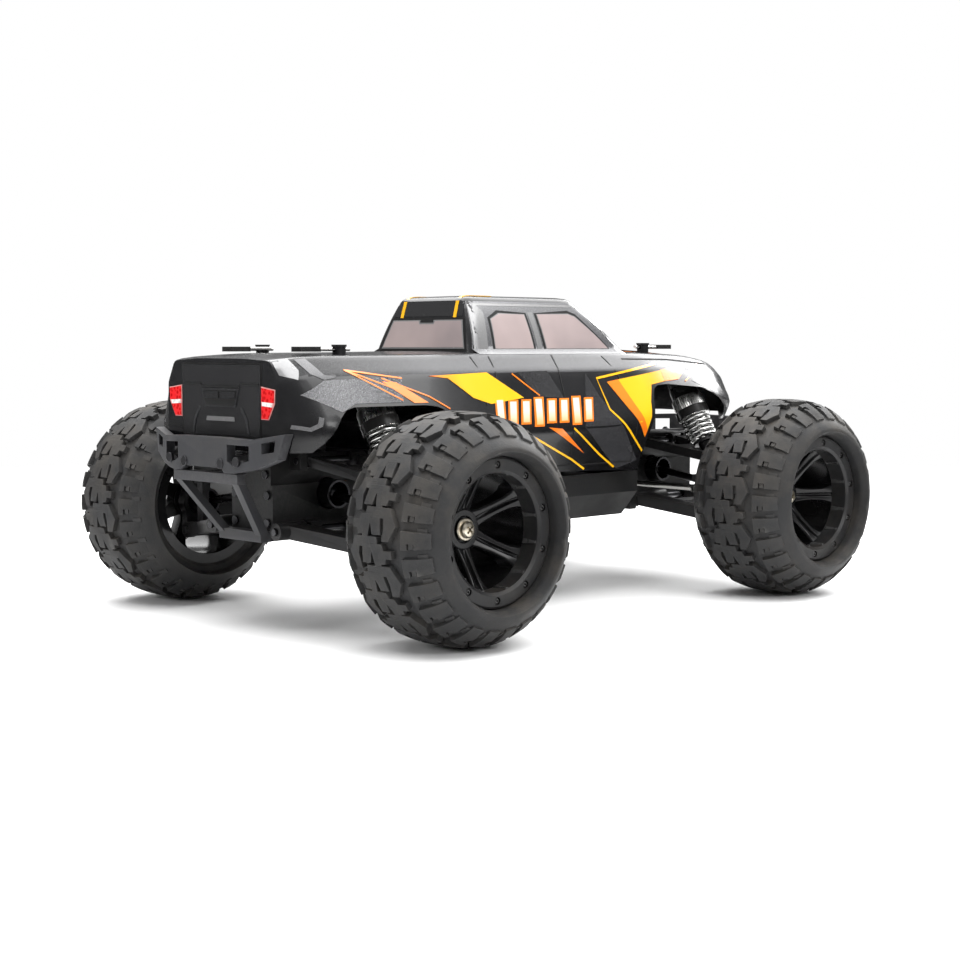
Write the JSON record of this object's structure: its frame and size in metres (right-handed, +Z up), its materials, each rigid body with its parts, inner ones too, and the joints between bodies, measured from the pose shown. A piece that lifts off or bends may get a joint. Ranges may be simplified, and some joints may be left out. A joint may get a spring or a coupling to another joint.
{
  "type": "rc monster truck",
  "caption": "Radio-control pickup monster truck with long-travel double-wishbone suspension, steered front wheels, balloon tyres and a clip-on shell.",
  "frame": {"origin": "on the ground, midway between the axles and the wheels", "axes": "+X forward along the truck, +Y to its left, +Z up"},
  "size_m": [0.2658, 0.2, 0.1152],
  "materials": {
    "tyre": "matte, dusty",
    "rim_plastic": "gloss black",
    "axle_steel": "nickel-plated",
    "arm_plastic": "satin",
    "hub_plastic": "satin",
    "shock_plastic": "black with a metal collar",
    "shaft_steel": "polished",
    "spring_steel": "plated",
    "driveline_steel": "dark",
    "rod_steel": "plain",
    "chassis_plastic": "satin",
    "bumper_plastic": "satin grey",
    "electronics_plastic": "plain",
    "screw_steel": "black oxide",
    "shell_paint": "gloss black with yellow graphics",
    "clip_wire": "wire with black tabs"
  },
  "bodies": {
    "chassis": {"chassis": "chassis_plastic", "gearboxes": "chassis_plastic", "shock_towers": "chassis_plastic", "front_bumper": "bumper_plastic", "rear_bumper": "bumper_plastic", "braces": "bumper_plastic", "electronics": "electronics_plastic", "fasteners": "screw_steel", "body_shell": "shell_paint"},
    "servo_saver": {"servo_saver": "hub_plastic"},
    "clips_front": {"body_clips_front": "clip_wire"},
    "clips_rear": {"body_clips_rear": "clip_wire"},
    "lower_arm_fl": {"lower_arm_fl": "arm_plastic"},
    "upper_arm_fl": {"upper_arm_fl": "arm_plastic"},
    "c_hub_fl": {"c_hub_fl": "hub_plastic"},
    "wheel_fl": {"tyre_fl": "tyre", "rim_fl": "rim_plastic", "axle_fl": "axle_steel"},
    "driveshaft_fl": {"driveshaft_fl": "driveline_steel"},
    "outdrive_fl": {"outdrive_fl": "driveline_steel"},
    "shock_body_fl": {"shock_body_fl": "shock_plastic", "spring_fl": "spring_steel"},
    "shock_shaft_fl": {"shock_shaft_fl": "shaft_steel"},
    "knuckle_fl": {"knuckle_fl": "hub_plastic"},
    "tie_rod_fl": {"tie_rod_fl": "rod_steel"},
    "lower_arm_fr": {"lower_arm_fr": "arm_plastic"},
    "upper_arm_fr": {"upper_arm_fr": "arm_plastic"},
    "c_hub_fr": {"c_hub_fr": "hub_plastic"},
    "wheel_fr": {"tyre_fr": "tyre", "rim_fr": "rim_plastic", "axle_fr": "axle_steel"},
    "driveshaft_fr": {"driveshaft_fr": "driveline_steel"},
    "outdrive_fr": {"outdrive_fr": "driveline_steel"},
    "shock_body_fr": {"shock_body_fr": "shock_plastic", "spring_fr": "spring_steel"},
    "shock_shaft_fr": {"shock_shaft_fr": "shaft_steel"},
    "knuckle_fr": {"knuckle_fr": "hub_plastic"},
    "tie_rod_fr": {"tie_rod_fr": "rod_steel"},
    "lower_arm_rl": {"lower_arm_rl": "arm_plastic"},
    "upper_arm_rl": {"upper_arm_rl": "arm_plastic"},
    "hub_carrier_rl": {"hub_carrier_rl": "hub_plastic"},
    "wheel_rl": {"tyre_rl": "tyre", "rim_rl": "rim_plastic", "axle_rl": "axle_steel"},
    "driveshaft_rl": {"driveshaft_rl": "driveline_steel"},
    "outdrive_rl": {"outdrive_rl": "driveline_steel"},
    "shock_body_rl": {"shock_body_rl": "shock_plastic", "spring_rl": "spring_steel"},
    "shock_shaft_rl": {"shock_shaft_rl": "shaft_steel"},
    "lower_arm_rr": {"lower_arm_rr": "arm_plastic"},
    "upper_arm_rr": {"upper_arm_rr": "arm_plastic"},
    "hub_carrier_rr": {"hub_carrier_rr": "hub_plastic"},
    "wheel_rr": {"tyre_rr": "tyre", "rim_rr": "rim_plastic", "axle_rr": "axle_steel"},
    "driveshaft_rr": {"driveshaft_rr": "driveline_steel"},
    "outdrive_rr": {"outdrive_rr": "driveline_steel"},
    "shock_body_rr": {"shock_body_rr": "shock_plastic", "spring_rr": "spring_steel"},
    "shock_shaft_rr": {"shock_shaft_rr": "shaft_steel"}
  },
  "joints": [
    {"name": "suspension_fl", "type": "hinge", "parent": "chassis", "child": "lower_arm_fl", "pos_m": [0.0875, 0.018, 0.0345], "axis": [1, 0, 0], "range_deg": [-5, 10], "stiffness_Nm_per_rad": 0.8, "springref_deg": -5.73},
    {"name": "upper_arm_pivot_fl", "type": "hinge", "parent": "chassis", "child": "upper_arm_fl", "pos_m": [0.0875, 0.014, 0.0575], "axis": [1, 0, 0], "range_deg": [-6, 11]},
    {"name": "hub_pivot_fl", "type": "hinge", "parent": "lower_arm_fl", "child": "c_hub_fl", "pos_m": [0.0875, 0.0565, 0.0284], "axis": [1, 0, 0], "range_deg": [-11, 6]},
    {"name": "steering_fl", "type": "hinge", "parent": "c_hub_fl", "child": "knuckle_fl", "pos_m": [0.0875, 0.0615, 0.038], "axis": [0, 0, 1], "range_deg": [-20, 20]},
    {"name": "tie_rod_slide_fl", "type": "slide", "parent": "lower_arm_fl", "child": "tie_rod_fl", "axis": [0.3786, -0.9255, 0], "range_m": [-0.009, 0.009]},
    {"name": "wheel_spin_fl", "type": "hinge", "parent": "knuckle_fl", "child": "wheel_fl", "pos_m": [0.0875, 0.077, 0.038], "axis": [0, 1, 0], "continuous": true},
    {"name": "driveshaft_spin_fl", "type": "hinge", "parent": "lower_arm_fl", "child": "driveshaft_fl", "pos_m": [0.0875, 0.013, 0.0455], "axis": [0, 0.9883, -0.1528], "continuous": true},
    {"name": "outdrive_spin_fl", "type": "hinge", "parent": "chassis", "child": "outdrive_fl", "pos_m": [0.0875, 0.012, 0.0455], "axis": [0, 1, 0], "continuous": true},
    {"name": "shock_pivot_fl", "type": "hinge", "parent": "chassis", "child": "shock_body_fl", "pos_m": [0.084, 0.0245, 0.088], "axis": [1, 0, 0], "range_deg": [-4, 7]},
    {"name": "shock_travel_fl", "type": "slide", "parent": "shock_body_fl", "child": "shock_shaft_fl", "axis": [0, 0.4841, -0.875], "range_m": [-0.006, 0.004], "deforming": ["spring_fl"]},
    {"name": "suspension_fr", "type": "hinge", "parent": "chassis", "child": "lower_arm_fr", "pos_m": [0.0875, -0.018, 0.0345], "axis": [-1, 0, 0], "range_deg": [-5, 10], "stiffness_Nm_per_rad": 0.8, "springref_deg": -5.73},
    {"name": "upper_arm_pivot_fr", "type": "hinge", "parent": "chassis", "child": "upper_arm_fr", "pos_m": [0.0875, -0.014, 0.0575], "axis": [-1, 0, 0], "range_deg": [-6, 11]},
    {"name": "hub_pivot_fr", "type": "hinge", "parent": "lower_arm_fr", "child": "c_hub_fr", "pos_m": [0.0875, -0.0565, 0.0284], "axis": [-1, 0, 0], "range_deg": [-11, 6]},
    {"name": "steering_fr", "type": "hinge", "parent": "c_hub_fr", "child": "knuckle_fr", "pos_m": [0.0875, -0.0615, 0.038], "axis": [0, 0, 1], "range_deg": [-21, 21]},
    {"name": "tie_rod_slide_fr", "type": "slide", "parent": "lower_arm_fr", "child": "tie_rod_fr", "axis": [-0.3786, -0.9255, 0], "range_m": [-0.009, 0.009]},
    {"name": "wheel_spin_fr", "type": "hinge", "parent": "knuckle_fr", "child": "wheel_fr", "pos_m": [0.0875, -0.077, 0.038], "axis": [0, 1, 0], "continuous": true},
    {"name": "driveshaft_spin_fr", "type": "hinge", "parent": "lower_arm_fr", "child": "driveshaft_fr", "pos_m": [0.0875, -0.013, 0.0455], "axis": [0, 0.9883, 0.1528], "continuous": true},
    {"name": "outdrive_spin_fr", "type": "hinge", "parent": "chassis", "child": "outdrive_fr", "pos_m": [0.0875, -0.012, 0.0455], "axis": [0, 1, 0], "continuous": true},
    {"name": "shock_pivot_fr", "type": "hinge", "parent": "chassis", "child": "shock_body_fr", "pos_m": [0.084, -0.0245, 0.088], "axis": [-1, 0, 0], "range_deg": [-4, 7]},
    {"name": "shock_travel_fr", "type": "slide", "parent": "shock_body_fr", "child": "shock_shaft_fr", "axis": [0, -0.4841, -0.875], "range_m": [-0.006, 0.004], "deforming": ["spring_fr"]},
    {"name": "suspension_rl", "type": "hinge", "parent": "chassis", "child": "lower_arm_rl", "pos_m": [-0.0875, 0.018, 0.0345], "axis": [1, 0, 0], "range_deg": [-5, 10], "stiffness_Nm_per_rad": 0.8, "springref_deg": -5.73},
    {"name": "upper_arm_pivot_rl", "type": "hinge", "parent": "chassis", "child": "upper_arm_rl", "pos_m": [-0.0875, 0.014, 0.0575], "axis": [1, 0, 0], "range_deg": [-6, 11]},
    {"name": "hub_pivot_rl", "type": "hinge", "parent": "lower_arm_rl", "child": "hub_carrier_rl", "pos_m": [-0.0875, 0.0565, 0.0284], "axis": [1, 0, 0], "range_deg": [-11, 6]},
    {"name": "wheel_spin_rl", "type": "hinge", "parent": "hub_carrier_rl", "child": "wheel_rl", "pos_m": [-0.0875, 0.077, 0.038], "axis": [0, 1, 0], "continuous": true},
    {"name": "driveshaft_spin_rl", "type": "hinge", "parent": "lower_arm_rl", "child": "driveshaft_rl", "pos_m": [-0.0875, 0.013, 0.0455], "axis": [0, 0.9883, -0.1528], "continuous": true},
    {"name": "outdrive_spin_rl", "type": "hinge", "parent": "chassis", "child": "outdrive_rl", "pos_m": [-0.0875, 0.012, 0.0455], "axis": [0, 1, 0], "continuous": true},
    {"name": "shock_pivot_rl", "type": "hinge", "parent": "chassis", "child": "shock_body_rl", "pos_m": [-0.084, 0.0245, 0.088], "axis": [1, 0, 0], "range_deg": [-4, 7]},
    {"name": "shock_travel_rl", "type": "slide", "parent": "shock_body_rl", "child": "shock_shaft_rl", "axis": [0, 0.4841, -0.875], "range_m": [-0.006, 0.004], "deforming": ["spring_rl"]},
    {"name": "suspension_rr", "type": "hinge", "parent": "chassis", "child": "lower_arm_rr", "pos_m": [-0.0875, -0.018, 0.0345], "axis": [-1, 0, 0], "range_deg": [-5, 10], "stiffness_Nm_per_rad": 0.8, "springref_deg": -5.73},
    {"name": "upper_arm_pivot_rr", "type": "hinge", "parent": "chassis", "child": "upper_arm_rr", "pos_m": [-0.0875, -0.014, 0.0575], "axis": [-1, 0, 0], "range_deg": [-6, 11]},
    {"name": "hub_pivot_rr", "type": "hinge", "parent": "lower_arm_rr", "child": "hub_carrier_rr", "pos_m": [-0.0875, -0.0565, 0.0284], "axis": [-1, 0, 0], "range_deg": [-11, 6]},
    {"name": "wheel_spin_rr", "type": "hinge", "parent": "hub_carrier_rr", "child": "wheel_rr", "pos_m": [-0.0875, -0.077, 0.038], "axis": [0, 1, 0], "continuous": true},
    {"name": "driveshaft_spin_rr", "type": "hinge", "parent": "lower_arm_rr", "child": "driveshaft_rr", "pos_m": [-0.0875, -0.013, 0.0455], "axis": [0, 0.9883, 0.1528], "continuous": true},
    {"name": "outdrive_spin_rr", "type": "hinge", "parent": "chassis", "child": "outdrive_rr", "pos_m": [-0.0875, -0.012, 0.0455], "axis": [0, 1, 0], "continuous": true},
    {"name": "shock_pivot_rr", "type": "hinge", "parent": "chassis", "child": "shock_body_rr", "pos_m": [-0.084, -0.0245, 0.088], "axis": [-1, 0, 0], "range_deg": [-4, 7]},
    {"name": "shock_travel_rr", "type": "slide", "parent": "shock_body_rr", "child": "shock_shaft_rr", "axis": [0, -0.4841, -0.875], "range_m": [-0.006, 0.004], "deforming": ["spring_rr"]},
    {"name": "servo_saver_turn", "type": "hinge", "parent": "chassis", "child": "servo_saver", "pos_m": [0.066, 0, 0.035], "axis": [0, 0, 1], "range_deg": [-37, 37]},
    {"name": "clips_front_pull", "type": "slide", "parent": "chassis", "child": "clips_front", "axis": [1, 0, 0], "range_m": [0, 0.02]},
    {"name": "clips_rear_pull", "type": "slide", "parent": "chassis", "child": "clips_rear", "axis": [-1, 0, 0], "range_m": [0, 0.02]}
  ],
  "couplings": [
    {"joint": "upper_arm_pivot_fl", "follows": "suspension_fl", "ratio": 1},
    {"joint": "hub_pivot_fl", "follows": "suspension_fl", "ratio": -1},
    {"joint": "tie_rod_slide_fl", "follows": "steering_fl", "m_per_rad": 0.0234},
    {"joint": "driveshaft_spin_fl", "follows": "wheel_spin_fl", "ratio": 1},
    {"joint": "outdrive_spin_fl", "follows": "wheel_spin_fl", "ratio": 1},
    {"joint": "shock_pivot_fl", "follows": "suspension_fl", "ratio": 0.462},
    {"joint": "shock_travel_fl", "follows": "suspension_fl", "m_per_rad": -0.0243},
    {"joint": "upper_arm_pivot_fr", "follows": "suspension_fr", "ratio": 1},
    {"joint": "hub_pivot_fr", "follows": "suspension_fr", "ratio": -1},
    {"joint": "steering_fr", "follows": "steering_fl", "ratio": 1},
    {"joint": "tie_rod_slide_fr", "follows": "steering_fl", "m_per_rad": 0.0234},
    {"joint": "driveshaft_spin_fr", "follows": "wheel_spin_fr", "ratio": 1},
    {"joint": "outdrive_spin_fr", "follows": "wheel_spin_fr", "ratio": 1},
    {"joint": "shock_pivot_fr", "follows": "suspension_fr", "ratio": 0.462},
    {"joint": "shock_travel_fr", "follows": "suspension_fr", "m_per_rad": -0.0243},
    {"joint": "upper_arm_pivot_rl", "follows": "suspension_rl", "ratio": 1},
    {"joint": "hub_pivot_rl", "follows": "suspension_rl", "ratio": -1},
    {"joint": "driveshaft_spin_rl", "follows": "wheel_spin_rl", "ratio": 1},
    {"joint": "outdrive_spin_rl", "follows": "wheel_spin_rl", "ratio": 1},
    {"joint": "shock_pivot_rl", "follows": "suspension_rl", "ratio": 0.462},
    {"joint": "shock_travel_rl", "follows": "suspension_rl", "m_per_rad": -0.0243},
    {"joint": "upper_arm_pivot_rr", "follows": "suspension_rr", "ratio": 1},
    {"joint": "hub_pivot_rr", "follows": "suspension_rr", "ratio": -1},
    {"joint": "driveshaft_spin_rr", "follows": "wheel_spin_rr", "ratio": 1},
    {"joint": "outdrive_spin_rr", "follows": "wheel_spin_rr", "ratio": 1},
    {"joint": "shock_pivot_rr", "follows": "suspension_rr", "ratio": 0.462},
    {"joint": "shock_travel_rr", "follows": "suspension_rr", "m_per_rad": -0.0243},
    {"joint": "servo_saver_turn", "follows": "steering_fl", "ratio": 1.76}
  ]
}
